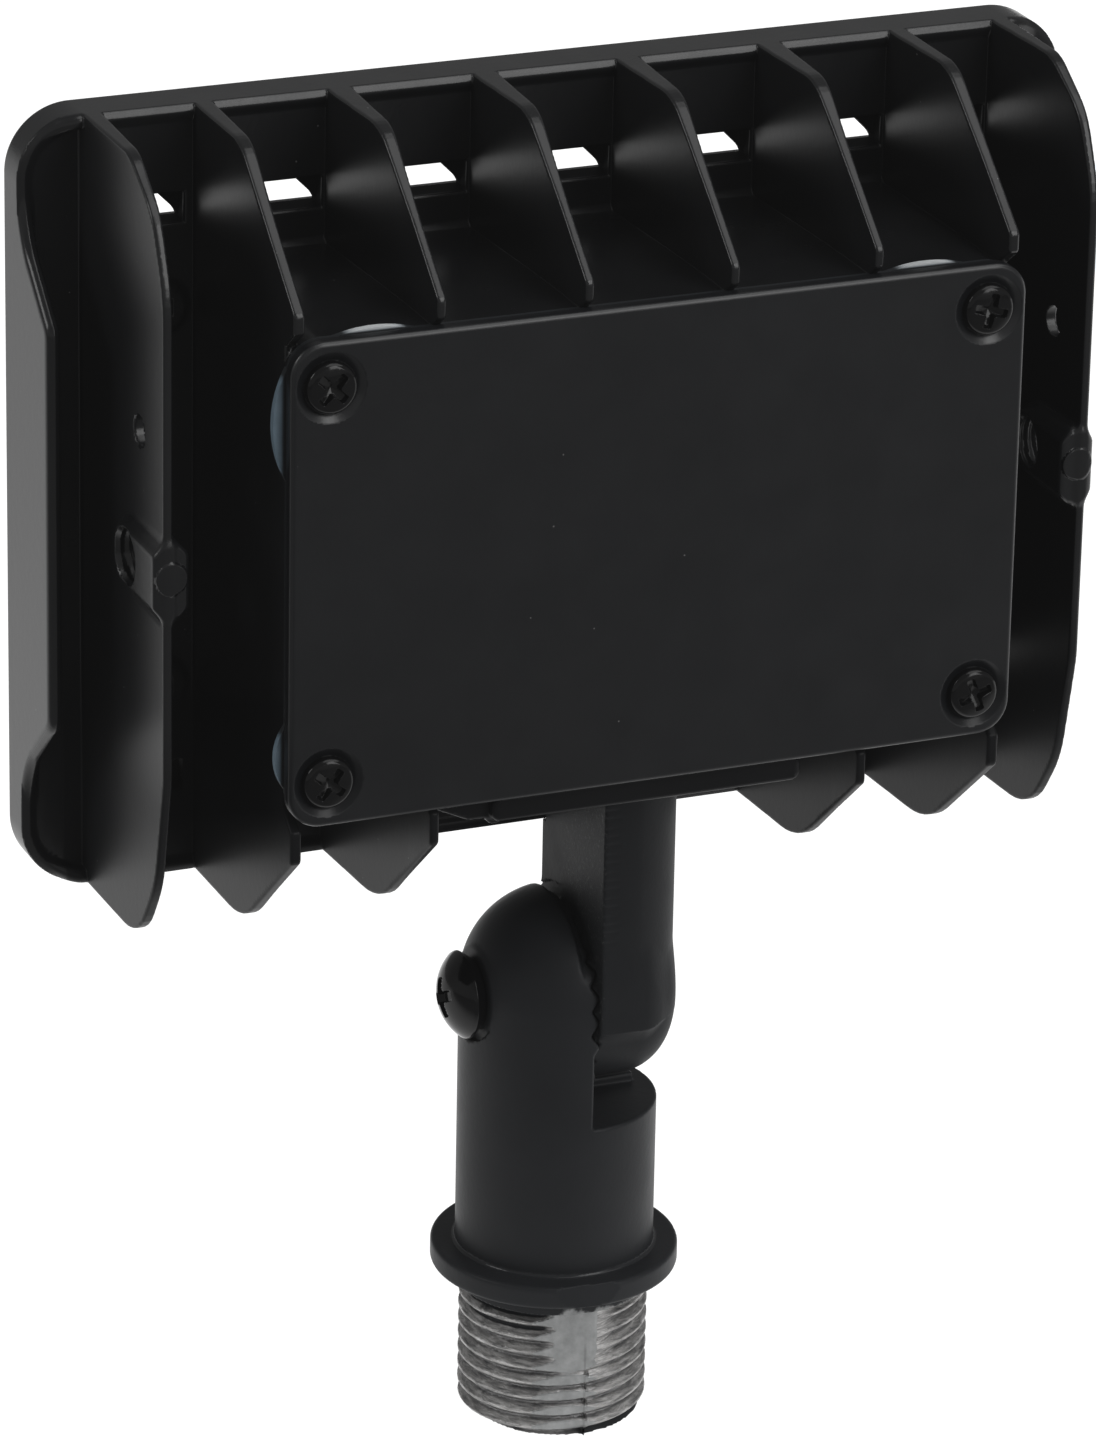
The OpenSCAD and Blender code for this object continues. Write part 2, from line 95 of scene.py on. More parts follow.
def arcs(points, radii):
    """A polygon's points with each corner turned into an arc of its own radius."""
    out, n = [], len(points)
    for i in range(n):
        p, a, b = (np.array(points[j % n], float) for j in (i, i - 1, i + 1))
        r = radii[i]
        if r <= 0:
            out.append(p)
            continue
        u, v = (a - p) / np.linalg.norm(a - p), (b - p) / np.linalg.norm(b - p)
        half = math.acos(np.clip(u @ v, -1, 1)) / 2
        t = min(r / math.tan(half), 0.49 * np.linalg.norm(a - p), 0.49 * np.linalg.norm(b - p))
        r = t * math.tan(half)
        mid = (u + v) / np.linalg.norm(u + v)
        c = p + mid * (r / math.sin(half))
        s, e = p + u * t - c, p + v * t - c
        a0, a1 = math.atan2(s[1], s[0]), math.atan2(e[1], e[0])
        d = (a1 - a0 + math.pi) % (2 * math.pi) - math.pi
        for k in range(7):
            q = a0 + d * k / 6
            out.append(c + r * np.array([math.cos(q), math.sin(q)]))
    return np.array(out)


def poly_distance(u, v, pts):
    d = np.full(np.broadcast(u, v).shape, 1e9)
    inside = np.zeros(d.shape, bool)
    n = len(pts)
    for i in range(n):
        (au, av), (bu, bv) = pts[i], pts[(i + 1) % n]
        eu, ev = bu - au, bv - av
        wu, wv = u - au, v - av
        t = np.clip((wu * eu + wv * ev) / (eu * eu + ev * ev + 1e-12), 0, 1)
        d = np.minimum(d, (wu - eu * t) ** 2 + (wv - ev * t) ** 2)
        c = (v >= av) != (v >= bv)
        cross = eu * wv - ev * wu
        inside ^= c & ((cross > 0) == (bv > av))
    d = np.sqrt(d)
    return np.where(inside, -d, d)


class Outline:
    """The distance to a flat outline, worked out once on a fine grid and read back smoothly."""

    def __init__(self, pts, step=0.1, pad=6.0):
        pts = np.asarray(pts, float)
        self.lo = pts.min(0) - pad
        hi = pts.max(0) + pad
        self.n = np.ceil((hi - self.lo) / step).astype(int) + 1
        self.h = step
        u = self.lo[0] + step * np.arange(self.n[0])
        v = self.lo[1] + step * np.arange(self.n[1])
        self.d = poly_distance(u[:, None], v[None, :], pts)

    def __call__(self, u, v):
        a = np.clip((u - self.lo[0]) / self.h, 0, self.n[0] - 1.001)
        b = np.clip((v - self.lo[1]) / self.h, 0, self.n[1] - 1.001)
        i, j = a.astype(int), b.astype(int)
        a, b = a - i, b - j
        d = self.d
        return (d[i, j] * (1 - a) * (1 - b) + d[i + 1, j] * a * (1 - b)
                + d[i, j + 1] * (1 - a) * b + d[i + 1, j + 1] * a * b)


# ---------------------------------------------------------------- from a distance field to a mesh
def nets(f, X, Y, Z):
    """Vertices and quads of the surface f = 0, from samples on a grid whose steps may vary."""
    D = np.ascontiguousarray(np.broadcast_to(
        f(X[:, None, None], Y[None, :, None], Z[None, None, :]), (len(X), len(Y), len(Z)))).astype(np.float32)
    S = D < 0
    S[0], S[-1], S[:, 0], S[:, -1], S[:, :, 0], S[:, :, -1] = (False,) * 6
    n = np.zeros(tuple(s - 1 for s in D.shape), np.int8)
    for i in (0, 1):
        for j in (0, 1):
            for k in (0, 1):
                n += S[i:i + n.shape[0], j:j + n.shape[1], k:k + n.shape[2]]
    act = (n > 0) & (n < 8)
    index = np.full(n.shape, -1, np.int32)
    I, J, K = np.nonzero(act)
    index[I, J, K] = np.arange(len(I), dtype=np.int32)
    P = np.zeros((len(I), 3))
    count = np.zeros(len(I))
    axes = (X, Y, Z)
    for axis in range(3):
        o1, o2 = [a for a in range(3) if a != axis]
        for p in (0, 1):
            for q in (0, 1):
                a = [I.copy(), J.copy(), K.copy()]
                a[o1] = a[o1] + p
                a[o2] = a[o2] + q
                b = [c.copy() for c in a]
                b[axis] = b[axis] + 1
                sa, sb = S[tuple(a)], S[tuple(b)]
                m = sa != sb
                da, db = D[tuple(a)][m].astype(float), D[tuple(b)][m].astype(float)
                t = np.clip(da / np.where(da == db, 1, da - db), 0, 1)
                for w in range(3):
                    pa, pb = axes[w][a[w][m]], axes[w][b[w][m]]
                    P[m, w] += pa + (pb - pa) * t
                count[m] += 1
    P /= count[:, None]
    quads = []
    for axis in range(3):
        sa = [slice(0, -1) if a == axis else slice(1, -1) for a in range(3)]
        sb = [slice(1, None) if a == axis else slice(1, -1) for a in range(3)]
        A, B = S[tuple(sa)], S[tuple(sb)]
        hit = np.array(np.nonzero(A != B))
        first = A[tuple(hit)]
        o1, o2 = [(1, 2), (2, 0), (0, 1)][axis]
        base = hit.copy()
        for a in range(3):
            if a != axis:
                base[a] += 1
        def cell(p, q):
            c = base.copy()
            c[o1] += p
            c[o2] += q
            return index[tuple(c)]
        Q = np.stack([cell(-1, -1), cell(0, -1), cell(0, 0), cell(-1, 0)], 1)
        Q[~first] = Q[~first][:, ::-1]
        quads.append(Q)
    return P, np.concatenate(quads)


def make_mesh(name, P, Q):
    me = bpy.data.meshes.new(name)
    me.vertices.add(len(P))
    me.vertices.foreach_set("co", np.ascontiguousarray(P, np.float32).ravel())
    me.loops.add(Q.size)
    me.loops.foreach_set("vertex_index", np.ascontiguousarray(Q, np.int32).ravel())
    me.polygons.add(len(Q))
    me.polygons.foreach_set("loop_start", np.arange(len(Q), dtype=np.int32) * Q.shape[1])
    me.update(calc_edges=True)
    return me


def slopes(f, P, e=0.02):
    g = np.zeros_like(P)
    x, y, z = P.T
    g[:, 0] = f(x + e, y, z) - f(x - e, y, z)
    g[:, 1] = f(x, y + e, z) - f(x, y - e, z)
    g[:, 2] = f(x, y, z + e) - f(x, y, z - e)
    return g / (2 * e)


def solid(name, f, X, Y, Z, faces, origin=(0, 0, 0), turns=1, material=None):
    """An object from a distance field in mm: surface, thinned to about so many triangles, set exactly on the field, with the field's own normals."""
    P, Q = nets(f, X, Y, Z)
    me = make_mesh(name, P, Q)
    ob = bpy.data.objects.new(name, me)
    bpy.context.collection.objects.link(ob)
    many = 2 * len(Q)
    if many > faces:
        mod = ob.modifiers.new("thin", "DECIMATE")
        mod.ratio = faces / many
        dg = bpy.context.evaluated_depsgraph_get()
        new = bpy.data.meshes.new_from_object(ob.evaluated_get(dg))
        ob.modifiers.clear()
        ob.data = new
        bpy.data.meshes.remove(me)
        me = new
        me.name = name
    n = len(me.vertices)
    P = np.zeros(n * 3, np.float32)
    me.vertices.foreach_get("co", P)
    P = P.reshape(-1, 3).astype(float)
    for _ in range(turns):
        d = f(*P.T)
        g = slopes(f, P)
        s = np.clip((g * g).sum(1), 0.25, 4)
        P -= np.clip(d / s, -0.12, 0.12)[:, None] * g
    g = slopes(f, P)
    size = np.linalg.norm(g, axis=1)
    g /= np.maximum(size, 1e-9)[:, None]
    P = (P + np.array(origin)) / 1000.0
    if not name.endswith("_one"):
        P = np.clip(P, np.array(CAD_BOX[0]), np.array(CAD_BOX[1]))
    me.vertices.foreach_set("co", np.ascontiguousarray(P, np.float32).ravel())
    me.polygons.foreach_set("use_smooth", np.ones(len(me.polygons), bool))
    me.update()
    me.normals_split_custom_set_from_vertices(g.tolist())
    if material:
        me.materials.append(material)
    log(name, "faces", len(me.polygons), "from", many)
    return ob


def steps(lo, hi, coarse, fine=(), scale=1.0):
    """Stations from lo to hi, coarse apart, finer in the windows (from, to, step)."""
    k = 1.0 * scale
    out, p = [lo], lo
    while p < hi:
        s = coarse * k
        for a, b, st in fine:
            if a <= p < b:
                s = min(s, st * k)
            elif p < a < p + s:
                s = min(s, max(a - p, st * k))
        p += s
        out.append(p)
    return np.array(out)


# ---------------------------------------------------------------- the head casting
TOP_FIN = Outline(arcs([(8.5, 21), (8.5, 42.6), (-7.6, 42.6), (-23.6, 29.1), (-23.6, 27.0), (-21.0, 25), (-21.0, 21)],
                       [0, 0, 6.5, 0.9, 0.5, 0, 0]))
LOW_FIN = Outline(arcs([(8.5, 21), (8.5, 42.5), (-9.3, 42.5), (-23.6, 30.4), (-23.6, 27.0), (-21.0, 25), (-21.0, 21)],
                       [0, 0, 11, 0.9, 0.5, 0, 0]))
END_FIN = Outline(arcs([(8.5, -42.5), (8.5, 42.6), (-7.5, 42.6), (-14.6, 38.2), (-18.0, 30.5), (-18.0, -22.0),
                        (-15.4, -34.5), (-9.8, -42.5)],
                       [0, 0, 6, 8, 14, 14, 14, 8]))
LIP_MID = Outline(arcs([(14, -36.1), (14, 37.7), (-2.6, 22.6), (-2.6, -21.0)], [0, 0, 2.2, 3.0]), 0.1, 10)


PAD_WEDGE = Outline(arcs([(-24.8, -25), (-24.8, -26.8), (-19.6, -29.2), (-16.5, -29.2), (-16.5, -25)],
                         [0, 0, 0.8, 0, 0]), 0.1, 8)


def fin_half(y):
    """Half the thickness of a fin: thin at the rear edge, flared towards the plate."""
    t = np.clip((y + 17.5) / 23.5, 0, 1.1)
    return 0.5 * (1.02 + 1.8 * t ** 1.35)


def ease(t):
    t = np.clip(t, 0, 1)
    return t * t * (3 - 2 * t)


def housing_field(x, y, z):
    ax, az = np.abs(x), np.abs(z)
    R = rect2(x, z, 58.9, 42.6, 7.0)
    # rim lip, deeper along the middle of both sides, lower round the corners
    ring = np.maximum(R, -rect2(x, z, 58.9 - 1.6, 42.6 - 1.7, 5.4))
    rear = join(5.35 + 1.3 * ease((ax - 52.4) / 4) - y, LIP_MID(y, z), 3.0)
    lip = cut(cut(ring, rear, 0.9), y - 11.4, 0.7)
    plate = np.maximum(R, np.maximum(5.8 + 1.1 * ease((ax - 51.0) / 0.7) - y, y - 9.3))
    tray = slab(rect2(x, z, 49.3, 29.6, 4), y, 5.8, 10.0, 0.4)
    d = join(lip, np.minimum(plate, tray), 0.35)
    # driver box
    box = slab(rect2(x, z, 40.1, 25.9, 3.4), y, -21.8, 8.0)
    d = join(d, box, 0.9 - 0.75 * ease(ax - 37.5))
    # fins, each point dealt with by the nearest one
    k = np.abs(x[..., None] - FINS).argmin(-1)
    xf = FINS[k]
    h = fin_half(y)
    end = np.abs(xf) > 45
    mid = np.abs(xf) < 16
    outer = np.sign(xf) * (x - xf) > 0
    out = np.where(end & outer, -0.8 * (h - 0.51), 0.0)
    # the fins beside the box are flush with its sides
    out = np.where((np.abs(xf) > 36) & ~end & outer, 0.7 - h, out)
    inner = np.where(z > 0, TOP_FIN(y, np.abs(z)), np.where(mid, 5.0, LOW_FIN(y, np.abs(z))))
    P = np.where(end, END_FIN(y, z), inner)
    fins = cut(np.abs(x - xf) - h - out, P, 0.3)
    # bosses of the side threads
    xo = np.abs(x) - np.where(x > 0, 50.7, 51.05)
    # narrower towards its ends
    boss = cut(SIDE_BOSS(y, z), np.abs(xo) - 1.95 + 1.1 * ease((np.abs(z) - 2.6) / 1.9), 0.55)
    disc = slab(ln(xo, z - 0.4) - 1.7, y, -18.22, -17.0, 0.12)
    boss = np.minimum(boss, disc)
    fins = np.where(end, join(fins, boss, 0.8), fins)
    # fillets at the feet of the fins, none where a fin runs on from the box's side
    flush = ease(ax - 37.0) * ease((27.0 - az) / 0.8) * ease(3.5 - y)
    d = join(d, fins, 0.14 - 0.1 * flush)
    # pad that carries the arm
    pad = slab(rect2(x, z + 26.8, 17.5, 2.5, 1.0), y, -21.8, 7.0, 0.5)
    pad = np.minimum(pad, slab(rect2(x, z + 27.9, 17.5, 1.4, 1.0), y, -22.9, 7.0, 0.5))
    d = join(d, pad, 0.8)
    nub = slab(ln(x + 16.6, z + 29.0) - 1.1, y, -21.5, 6.5, 0.4)
    d = join(d, nub, 0.5)
    # bosses behind the bezel screws
    xb, zb = np.abs(x) - 44, az - 21
    d = join(d, slab(ln(xb, zb) - 2.9, y, 4.9, 8.0, 0.4), 0.8)
    # soft wedge beside the pad's left end
    d = join(d, slab(PAD_WEDGE(x, z), y, -21.6, 6.0, 0.3), 0.4)
    d = np.maximum(d, R)
    # hollows: light chamber, lens pocket, driver chamber with corner posts and standoffs
    d = np.maximum(d, -slab(rect2(x, z, 37.9, 23.7, 2.4), y, FLOOR, 14))
    d = np.maximum(d, -slab(rect2(x, z, 40.0, 26.3, 2.4), y, SEAT, 14))
    post = np.minimum(ln(np.abs(x) - 36.4, az - 21.4) - 3.2,
                      np.maximum(ln(np.abs(x) - 28, az - 18) - 2.8, -4.0 - y))
    hollow = np.maximum(slab(rect2(x, z, 37.9, 23.7, 2.4), y, -23.5, -1.4), -post)
    d = np.maximum(d, -hollow)
    # vent slots, narrower towards the rim
    b = np.abs(x[..., None] - BAYS).argmin(-1)
    u = np.abs(x - BAYS[b]) - BAY_HW[b] - 0.05
    band = np.abs(az - 31.5) - 1.65
    slots = np.maximum(np.maximum(band, cut(u, (u + az - 30.1) * 0.7071, 0.8)), np.abs(y - 9.7) - 2.4)
    slots = np.minimum(slots, np.maximum(np.maximum(band, u + 0.35), np.abs(y - 6.3) - 1.3))
    d = cut(d, -slots, 0.3)
    # screw holes, lead hole, wire passage
    d = np.maximum(d, -slab(ln(np.abs(x) - 36.4, az - 21.4) - 1.5, y, -22.5, -12.8))
    d = np.maximum(d, -slab(ln(xb, zb) - 1.2, y, 4.6, 12))
    d = np.maximum(d, -slab(ln(x - 29.5, z) - 2.6, y, -4, 5))
    d = np.maximum(d, -np.maximum(ln(x - 3, y + 4.4) - 2.0, np.abs(z + 27) - 4))
    # side threads with countersunk mouths, pin holes
    turn = np.abs(2 * ((np.abs(x) - np.arctan2(z, y + 9.3) / (2 * math.pi)) % 1) - 1)
    hole = (ln(y + 9.3, z) - 2.7 - 0.35 * turn) * 0.85
    hole = np.minimum(hole, ln(y + 9.3, z) - 2.7 - 0.9 * np.clip(np.abs(xo) - 1.45, 0, 0.6))
    d = np.maximum(d, -np.maximum(hole, np.abs(xo) - 4))
    pin = np.maximum(ln(y + 10.8, z - 14) - 1.65, np.abs(xo) - 4)
    d = cut(d, -pin, 0.12)
    return d


SIDE_BOSS = Outline(arcs([(-18.0, -4.4), (-18.0, 4.4), (-9.3, 4.2), (-5.6, 2.4), (-5.6, -2.4), (-9.3, -4.2)],
                         [0.8, 0.8, 3, 3, 3, 3]))


def make_housing(mat):
    wins = [(x - 2.9, x + 2.9, 0.23) if abs(x) > 45 else (x - 2.2, x + 2.2, 0.22) for x in FINS] + [(-59.6, -56.4, 0.26), (56.4, 59.6, 0.26)]
    X = steps(-60, 60, 0.55, wins)
    Y = steps(-24.2, 12.4, 0.38, [(-24.2, -20.5, 0.25), (-12.8, -5.8, 0.2), (-3.4, -1.6, 0.25), (4.4, 12.4, 0.25)])
    Z = steps(-43.7, 43.7, 0.42, [(-43.7, -39.6, 0.25), (39.6, 43.7, 0.25), (29.2, 33.8, 0.25), (-33.8, -29.0, 0.25),
                                  (24.8, 27.0, 0.28), (-27, -24.8, 0.28), (-3.4, 3.4, 0.2)])
    log("housing grid", len(X), len(Y), len(Z))
    return solid("housing_casting", housing_field, X, Y, Z, 180000, (0, 0, HC), 2, mat)


# ---------------------------------------------------------------- rear cover
def cover_field(x, y, z):
    d = slab(rect2(x, z, 40.7, 26.25, 3.6), y, -24.6, -22.6, 0.55)
    rr = ln(np.abs(x) - 36.4, np.abs(z) - 21.4)
    # shallow dimple, blended into the face, and the screw hole
    depth = 0.55 * (1 - np.clip((rr - 2.86) / 0.95, 0, 1))
    d = np.maximum(d, -(y + 24.6 - depth) * 0.8)
    d = np.maximum(d, -(rr - 1.7))
    return d


def make_cover(mat):
    w = [(-41.4, -32.4, 0.2), (32.4, 41.4, 0.2)]
    X = steps(-41.3, 41.3, 0.6, w)
    Z = steps(-26.9, 26.9, 0.6, [(-26.9, -17.4, 0.2), (17.4, 26.9, 0.2)])
    Y = steps(-25.1, -22.1, 0.14)
    return solid("rear_cover_plate", cover_field, X, Y, Z, 40000, (0, 0, HC), 2, mat)


# ---------------------------------------------------------------- knuckle
def teeth(y, z, side, r_in=6.0):
    """Height of the radial teeth on the knuckle's faces, about the tilt axis; a tooth every 15 degrees.
    Side is -1 on the base and 1 on the arm: both faces stand clear where the teeth are left out."""
    r = ln(y, z)
    a = np.arctan2(z, y) * 24 / (2 * math.pi)
    wave = 0.42 * np.sin(2 * math.pi * a) - 0.035 * np.sin(6 * math.pi * a)
    worn = 1 - ease((z - 5.4) / 2) * ease((r - 8.4) / 1.2)
    return (wave * 0.95 * worn + side * 0.32 * (1 - worn)) * np.clip(r / 10.9, 0, 1.05) * np.clip((r - r_in) / 0.6, 0, 1)


def thread_radius(x, y, z):
    a = np.arctan2(y, x) / (2 * math.pi)
    t = (z / 1.814 - a) % 1
    v = np.abs(2 * t - 1)                       # 0 at the crest, 1 at the root
    v = np.clip((v - 0.16) / 0.72, 0, 1)
    return v * 0.95


def base_field(x, y, z):
    rho = ln(x, y)
    zp = z - PZ
    body = np.maximum(rho - 10.9, -(z + 2))
    sphere = np.sqrt(x * x + y * y + zp * zp) - 10.9 + 0.75 * ease((x + 1.5) / 0.7) * ease((zp - 3.6) / 3.0)
    body = np.where(zp > 0, sphere, body)
    # the arm's side: open above the ledge
    T = teeth(y, zp, -1)
    face = (x + 0.08 - T * (ln(y, zp) < 11.6)) * 0.85
    face = np.where(ln(y, zp) < 11.6, face, x + 0.15)
    ledge = z - 20.0
    keep = np.minimum(face, ledge)              # solid where left of the face or under the ledge
    keep = join(face, ledge, 0.25)
    body = cut(body, keep, 0.35)
    rib = slab(rect2(x - 4.0, z - 20.0, 4.8, 1.05, 0.3), y, -0.6, 6.7, 0.3)
    body = join(body, rib, 0.3)
    # flange
    fl = slab(rho - 13.6, z, 0.0, 2.6, 0.5)
    fl = np.maximum(fl, (-0.1 * x - 0.995 * y) * 0.985 + z * 0.17 - 13.25)
    body = join(body, fl, 0.4)
    # stem below the flange: short neck, then the thread with two flats at the mould line
    flat = lambda a: 9.86 - (x * math.sin(a) - y * math.cos(a))
    depth = thread_radius(x, y, z) * np.clip((-z - 1.2) / 1.6, 0, 1)
    # the turns are filled in beside the parting line, more so near the flange
    filled = ease((x + 5.2) / 3.6) * ease((4.2 - x) / 3.6) * (y < 0) * ease((z + 11.5) / 4.5)
    depth = depth * (1 - filled)
    major = 10.4 - np.clip((z + 1.9) / 1.0, 0, 1) * 0.7 - np.clip((-z - 16.2) / 1.2, 0, 1) * 0.75
    thread = (rho - major + depth) * 0.72
    a0 = math.radians(-14.2)
    nx, ny = math.sin(a0), -math.cos(a0)
    thread = np.maximum(thread, x * nx + y * ny - 9.86)
    thread = np.maximum(thread, -x * nx - y * ny - 9.86)
    # flash left along the parting line
    flash = np.maximum(np.abs(x) - 0.11, np.abs(rho - 9.6) - 0.55)
    thread = np.minimum(thread, flash)
    stem = np.maximum(np.maximum(thread, -17.4 - z), z - 1.0)
    body = np.minimum(body, stem)
    # wire passage and pivot
    body = np.maximum(body, -np.maximum(rho - 6.5, z - 9))
    body = np.maximum(body, -np.maximum(ln(x + 3.9, y) - 3.1, np.abs(z - 14) - 8.2))
    rx = ln(y, zp)
    ringcut = np.maximum(np.maximum(rx - 6.0, 4.3 - rx), -6.6 - x)
    body = np.maximum(body, -ringcut)
    body = np.maximum(body, -(rx - 3.08))
    body = join(body, np.maximum(rx - 4.4, np.abs(x + 5) - 4.9), 1.2)
    body = cut(body, -np.maximum(rx - 5.15, x + 9.9), 0.3)
    return body


def make_base(mat):
    X = steps(-14.2, 14.2, 0.3)
    Y = steps(-14.2, 14.2, 0.3)
    Z = steps(-17.9, 44.8, 0.34, [(-17.9, 0.2, 0.17)])
    return solid("knuckle_lower", base_field, X, Y, Z, 160000, (0, 0, 0), 1, mat)


ARM_Y, ARM_R, ARM_FLAT = -2.8, 8.8, 2.5


def arm_field(x, y, z):
    zp = z - PZ
    rx = ln(y, zp)
    # disc at the pivot with a large rounding on its right side
    disc = cut(rx - 10.9, x - 11.0, 5.6)
    # D-shaped shank
    xs = np.maximum(x - ARM_FLAT, 0)
    shank = ln(xs, y - ARM_Y) - ARM_R
    shank = np.where(x < ARM_FLAT, np.abs(y - ARM_Y) - ARM_R, shank)
    # relief that clears the rim of the head
    shank = cut(shank, y - 5.1 - 2.5 * ease((50.1 - z) / 0.5), 0.4)
    shank = cut(shank, -(y + 11.6 - 0.78 * ease((5.0 - zp) / 5.0)), 0.3)
    shank = np.maximum(shank, -zp - 1.0)
    body = join(disc, shank, 0.7 + 2.2 * ease((9.0 - x) / 3.5) * ease(-y / 3))
    T = teeth(y, zp, 1)
    face = (-x + 0.08 + T * (rx < 11.0)) * 0.85
    face = np.where(rx < 11.0, face, 0.15 - x)
    # small notches left by the mould along the rear edge of the flat face
    notch = 0.14 * np.clip(1 - np.abs(((zp - 11.5) / 1.02) % 1 - 0.5) * 3.2, 0, 1)
    notch = notch * np.clip((zp - 7.5) / 1.5, 0, 1) * np.clip((2.2 - x) / 1.2, 0, 1) * (y < ARM_Y)
    body = cut(body + notch, face, 0.3)
    body = np.maximum(body, z - (HC - 29.9))
    # pivot recess, bolt hole, wire passage
    ringcut = np.maximum(np.maximum(rx - 6.0, 4.3 - rx), x - 6)
    body = np.maximum(body, -ringcut)
    body = np.maximum(body, -np.maximum(rx - 3.0, x - 8.4))
    body = np.maximum(body, -np.maximum(ln(x - 3, y + 4.4) - 2.0, PZ + 4.6 - z))
    return body


def make_arm(mat):
    X = steps(-1.2, 12, 0.28)
    Y = steps(-12.4, 11.6, 0.28)
    Z = steps(PZ - 11.8, HC - 29.2, 0.3)
    return solid("knuckle_upper", arm_field, X, Y, Z, 90000, (0, 0, 0), 1, mat)


# ---------------------------------------------------------------- screws
def bolt_field(u, w, v):
    """Large domed head with a crossed recess, and its shank; w runs out from the seat."""
    rho = ln(u, v)
    cap = np.sqrt(rho * rho + (w + 2.15) ** 2) - 6.15
    head = cut(cut(rho - 4.92 + 0.75 * np.clip(1.45 - w, 0, 1.5), cap, 0.25), -w, 0.05)
    top = 4.0 - (6.15 - np.sqrt(np.maximum(6.15 ** 2 - rho * rho, 1)))
    head = np.maximum(head, -cross_field(u, v, top - w, 2.2, 0.62, 1.7))
    rod = np.maximum(rho - 2.95, np.abs(w + 9.0) - 9.05)
    return np.minimum(head, rod)


def cross_field(u, v, w, half, wide, deep):
    """Crossed recess: deepest at the middle, its wings narrowing inwards. w is the height below the head's top."""
    s = np.clip(w / deep, 0, 1)
    arm_l = half * (1 - 0.3 * s)
    arm_w = wide * (1 - 0.22 * s)
    a = join(rect2(u, v, arm_l, arm_w, 0.22), rect2(u, v, arm_w, arm_l, 0.22), 0.3)
    return np.maximum(a, w - deep * (1 - 0.5 * np.clip(ln(u, v) / half, 0, 1)))


def pan_field(r, h, half, wide, deep, shank, length, dome):
    def f(u, w, v):
        # w runs from the seat (0) up to the crown (h)
        rho = ln(u, v)
        crown = w - h + dome * np.clip(rho / r, 0, 1.2) ** 2
        head = cut(cut(rho - r, crown * 0.93, 0.5), -w, 0.05)
        head = np.maximum(head, -cross_field(u, v, h - w, half, wide, deep))
        rod = np.maximum(rho - shank, np.abs(w + length / 2) - length / 2 - 0.1)
        return np.minimum(head, rod)
    return f


def screw_set(name, places, faces_each, mat, f, R, w0, w1, step, face=-1, turns=()):
    """Copies of one screw, heads pointing along face * Y, as one object."""
    U = steps(-R - 0.4, R + 0.4, step)
    W = steps(w0 - 0.4, w1 + 0.4, step)
    P, Q = nets(f, U, W, U)
    base = solid(name + "_one", f, U, W, U, faces_each, (0, 0, 0), 1, mat)
    bm_list = []
    for n, (cx, cy, cz) in enumerate(places):
        t = math.radians(turns[n] if n < len(turns) else 17 * n)
        ob = base.copy()
        ob.data = base.data.copy()
        bpy.context.collection.objects.link(ob)
        m = Matrix.Translation(Vector((cx, cy, cz)) / 1000)
        if face < 0:
            m = m @ Matrix.Scale(-1, 4, (0, 1, 0)) @ Matrix.Scale(-1, 4, (1, 0, 0))
        m = m @ Matrix.Rotation(t, 4, "Y")
        ob.matrix_world = m
        bm_list.append(ob)
    bpy.data.objects.remove(base)
    return join_objects(name, bm_list)


def join_objects(name, obs):
    bpy.context.view_layer.update()
    for o in bpy.context.selected_objects:
        o.select_set(False)
    for o in obs:
        mw = o.matrix_world.copy()
        o.data.transform(mw)
        o.matrix_world = Matrix.Identity(4)
        o.select_set(True)
    bpy.context.view_layer.objects.active = obs[0]
    if len(obs) > 1:
        bpy.ops.object.join()
    ob = bpy.context.view_layer.objects.active
    ob.name = name
    ob.data.name = name
    ob.select_set(False)
    return ob


# ---------------------------------------------------------------- materials
def new_mat(name):
    m = bpy.data.materials.new(name)
    m.use_nodes = True
    nt = m.node_tree
    return m, nt, nt.nodes["Principled BSDF"]


def node(nt, kind, **values):
    n = nt.nodes.new(kind)
    for k, v in values.items():
        if k in n.inputs:
            n.inputs[k].default_value = v
        else:
            setattr(n, k, v)
    return n


def ramp(nt, source, stops):
    n = nt.nodes.new("ShaderNodeValToRGB")
    n.color_ramp.elements[0].position, n.color_ramp.elements[0].color = stops[0][0], (*stops[0][1], 1)
    n.color_ramp.elements[1].position, n.color_ramp.elements[1].color = stops[-1][0], (*stops[-1][1], 1)
    for p, c in stops[1:-1]:
        e = n.color_ramp.elements.new(p)
        e.color = (*c, 1)
    nt.links.new(source, n.inputs["Fac"])
    return n


def coords(nt):
    return nt.nodes.new("ShaderNodeTexCoord").outputs["Object"]


def noise(nt, vec, scale, detail=3.0, rough=0.55, distort=0.0):
    n = node(nt, "ShaderNodeTexNoise", Scale=scale, Detail=detail, Roughness=rough, Distortion=distort)
    nt.links.new(vec, n.inputs["Vector"])
    return n.outputs["Fac"]


def bump(nt, height, distance, strength=1.0, normal=None):
    n = node(nt, "ShaderNodeBump", Strength=strength, Distance=distance)
    nt.links.new(height, n.inputs["Height"])
    if normal is not None:
        nt.links.new(normal, n.inputs["Normal"])
    return n.outputs["Normal"]


def between(nt, value, lo, hi, soft):
    """1 where lo < value < hi, falling off over soft."""
    a = node(nt, "ShaderNodeMapRange", interpolation_type="SMOOTHSTEP")
    b = node(nt, "ShaderNodeMapRange", interpolation_type="SMOOTHSTEP")
    for n, x0, x1 in ((a, lo - soft, lo), (b, hi + soft, hi)):
        n.inputs["From Min"].default_value, n.inputs["From Max"].default_value = x0, x1
        nt.links.new(value, n.inputs["Value"])
    return maths(nt, "MULTIPLY", a.outputs["Result"], b.outputs["Result"])


